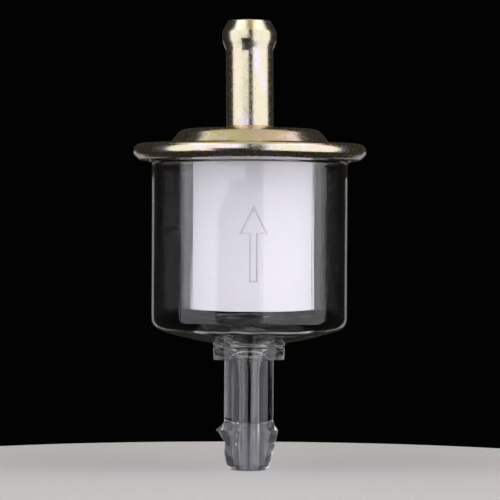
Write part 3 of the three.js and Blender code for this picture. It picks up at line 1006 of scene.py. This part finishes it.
    def make_camera(self, context, s):
        lens = bpy.data.cameras.new("camera")
        lens.lens = s.lens
        lens.sensor_width = s.sensor
        camera = bpy.data.objects.new("camera", lens)
        bpy.context.scene.collection.objects.link(camera)
        camera.location = (s.camera_side, -s.camera_distance, s.camera_height)
        camera.rotation_euler = (math.pi / 2, s.camera_roll, 0)
        context.scene.camera = camera


class FILTER_OT_cap(bpy.types.Operator):
    """Presses the steel cap, rolls its rim under the bowl's flange and marks the crimp"""

    bl_idname = "filter.cap"
    bl_label = "Cap"

    def execute(self, context):
        s = context.scene.filter_cap
        bm = bmesh.new()
        draw_outline(bm, cap_outline(s), closed=False)
        split_straights(bm, 1 * MM)
        spin_outline(bm, CAP_STEPS)
        mark_crimp(bm, s)
        if sum(face.normal.z for face in bm.faces if face.calc_center_median().z > s.ring) < 0:
            bmesh.ops.reverse_faces(bm, faces=bm.faces)
        bmesh.ops.solidify(bm, geom=bm.faces[:], thickness=s.sheet)
        piece_from(bm, "pressed_cap", plated_steel(), "yellow_zinc_steel", "cap")
        return {"FINISHED"}


class FILTER_OT_outlet(bpy.types.Operator):
    """Rolls the outlet nipple and brazes it into the dome"""

    bl_idname = "filter.outlet"
    bl_label = "Outlet nipple"

    def execute(self, context):
        s = context.scene.filter_outlet
        cap = context.scene.filter_cap
        bm = turned(outlet_outline(s, cap.sheet, cap.dome), TUBE_STEPS, 0.6 * MM)
        for vert in bm.verts:
            vert.co.x -= max(0, vert.co.z - cap.dome) * math.tan(s.lean)
        piece_from(bm, "rolled_outlet_tube", plated_steel(), "yellow_zinc_steel", "outlet_nipple")
        inner = s.stem + 0.01 * MM
        hollow = s.braze_leg * 0.3
        fillet = [
            (inner, cap.dome, 0),
            (inner + s.braze_leg, cap.dome, 0),
            (inner + hollow, cap.dome + hollow, hollow),
            (inner, cap.dome + s.braze_leg, 0),
        ]
        bm = turned(fillet, TUBE_STEPS)
        for vert in bm.verts:
            if vert.co.z > cap.dome + 1e-6:
                vert.co.z += 0.02 * MM * noise.noise(vert.co / (0.8 * MM))
        piece_from(bm, "braze_fillet", braze_filler(), "braze", "nipple_braze_ring")
        return {"FINISHED"}


class FILTER_OT_bowl(bpy.types.Operator):
    """Moulds the clear bowl with its collar, barbed inlet nipple and raised flow arrow"""

    bl_idname = "filter.bowl"
    bl_label = "Bowl"

    def execute(self, context):
        s = context.scene.filter_bowl
        bm = turned(bowl_outline(s), TUBE_STEPS, 1 * MM)
        tear_barb(bm, s)
        wave_floor(bm, s)
        raise_arrow(bm, context.scene.filter_arrow, s)
        bmesh.ops.recalc_face_normals(bm, faces=bm.faces)
        add_bubbles(bm, s, 60)
        colours = context.scene.filter_finishes
        clear = clear_plastic("clear_plastic", colours.clear)
        # The arrow line's greyer tint is painted shade, for the shade and refraction at the raised line
        line = clear_plastic("clear_plastic_line_painted_shade", colours.line)
        worn = clear_plastic("clear_plastic_worn", colours.worn, clearness=0.96)
        for face in bm.faces:
            at = face.calc_center_median()
            if at.z < s.barb_top and math.hypot(at.x, at.y) > s.bore * OUTSIDE_BORE:
                face.material_index = WORN_FINISH
        piece_from(bm, "clear_bowl", clear, "clear_plastic", "bowl", details=(line, worn))
        return {"FINISHED"}


class FILTER_OT_element(bpy.types.Operator):
    """Makes the filter element: medium, end plug, top ring and the finish of the core"""

    bl_idname = "filter.element"
    bl_label = "Filter element"

    def execute(self, context):
        s = context.scene.filter_element
        edge = 0.25 * MM
        medium = [
            (s.bore, s.low, edge),
            (s.foot, s.low, edge),
            (s.head, s.high, edge),
            (s.bore, s.high, edge),
        ]
        bm = turned(medium, MEDIUM_STEPS, 0.4 * MM)
        fray_medium(bm, s)
        piece_from(shifted(bm, s.shift), "felted_medium", filter_medium(), "white_media", "filter_media")

        plastic = white_plastic()
        small = 0.15 * MM
        flange = s.low + s.plug
        inside = s.spigot - s.spigot_wall
        plug = [
            (0, s.low, 0),
            (s.core, s.low, small),
            (s.core, flange, small),
            (s.spigot, flange, 0),
            (s.spigot, flange + s.plug_spigot, small),
            (inside, flange + s.plug_spigot, small),
            (inside, flange, small),
            (0, flange, 0),
        ]
        bm = shifted(turned(plug, RING_STEPS), s.shift)
        piece_from(bm, "moulded_end_plug", plastic, "white_plastic", "media_end_plug")
        top = s.high + s.ring
        ring = [
            (inside, s.high - s.ring_spigot, small),
            (s.spigot, s.high - s.ring_spigot, small),
            (s.spigot, s.high, 0),
            (s.head, s.high, small),
            (s.head, top, small),
            (inside, top, small),
        ]
        bm = shifted(turned(ring, RING_STEPS), s.shift)
        piece_from(bm, "moulded_top_ring", plastic, "white_plastic", "media_top_ring")
        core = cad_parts["media_core"]
        core.data.materials.clear()
        core.data.materials.append(plastic)
        return {"FINISHED"}


class FILTER_OT_seals(bpy.types.Operator):
    """Makes the two rubber rings, the gasket in the crimp and the seal on the element"""

    bl_idname = "filter.seals"
    bl_label = "Seals"

    def execute(self, context):
        rubber = black_rubber()
        bowl = context.scene.filter_bowl
        cap = context.scene.filter_cap
        element = context.scene.filter_element
        bm = self.flat_ring(cap.gasket_bore, cap.gasket, bowl.flange_high, cap.ring - cap.sheet)
        piece_from(bm, "crimped_gasket", rubber, "black_rubber", "cap_gasket")
        low = element.high + element.ring
        bm = self.flat_ring(element.seal_bore, element.seal, low, cap.dome - cap.sheet)
        piece_from(shifted(bm, element.shift), "element_seal_ring", rubber, "black_rubber", "element_seal")
        return {"FINISHED"}

    def flat_ring(self, inner, outer, low, high):
        """A flat ring whose edges bulge a little, because it is squeezed."""
        edge = (high - low) * 0.35
        corners = [(inner, low), (outer, low), (outer, high), (inner, high)]
        return turned([(r, z, edge) for r, z in corners], RING_STEPS)


class FILTER_PT_panel(bpy.types.Panel):
    """Lists the filter's pieces in the order they are made"""

    bl_label = "Fuel Filter"
    bl_idname = "FILTER_PT_panel"
    bl_space_type = "VIEW_3D"
    bl_region_type = "UI"
    bl_category = "Fuel Filter"

    def draw(self, context):
        for operator in OPERATORS:
            self.layout.operator(operator.bl_idname)
        for name, group in GROUPS.items():
            box = self.layout.box()
            for prop in group.__annotations__:
                box.prop(getattr(context.scene, name), prop)


OPERATORS = (
    FILTER_OT_stage,
    FILTER_OT_cap,
    FILTER_OT_outlet,
    FILTER_OT_bowl,
    FILTER_OT_element,
    FILTER_OT_seals,
)


def register():
    for group in GROUPS.values():
        bpy.utils.register_class(group)
    for operator in OPERATORS:
        bpy.utils.register_class(operator)
    bpy.utils.register_class(FILTER_PT_panel)
    for name, group in GROUPS.items():
        setattr(bpy.types.Scene, name, PointerProperty(type=group))


def unregister():
    for name in GROUPS:
        delattr(bpy.types.Scene, name)
    bpy.utils.unregister_class(FILTER_PT_panel)
    for operator in reversed(OPERATORS):
        bpy.utils.unregister_class(operator)
    for group in reversed(GROUPS.values()):
        bpy.utils.unregister_class(group)


def main():
    """Makes every piece in order."""
    register()
    bpy.ops.filter.stage()
    bpy.ops.filter.cap()
    bpy.ops.filter.outlet()
    bpy.ops.filter.bowl()
    bpy.ops.filter.element()
    bpy.ops.filter.seals()
    boxes = {"cad": CAD_BOX, "visual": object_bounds()}
    corners = {name: [list(corner) for corner in box] for name, box in boxes.items()}


if __name__ == "__main__":
    main()
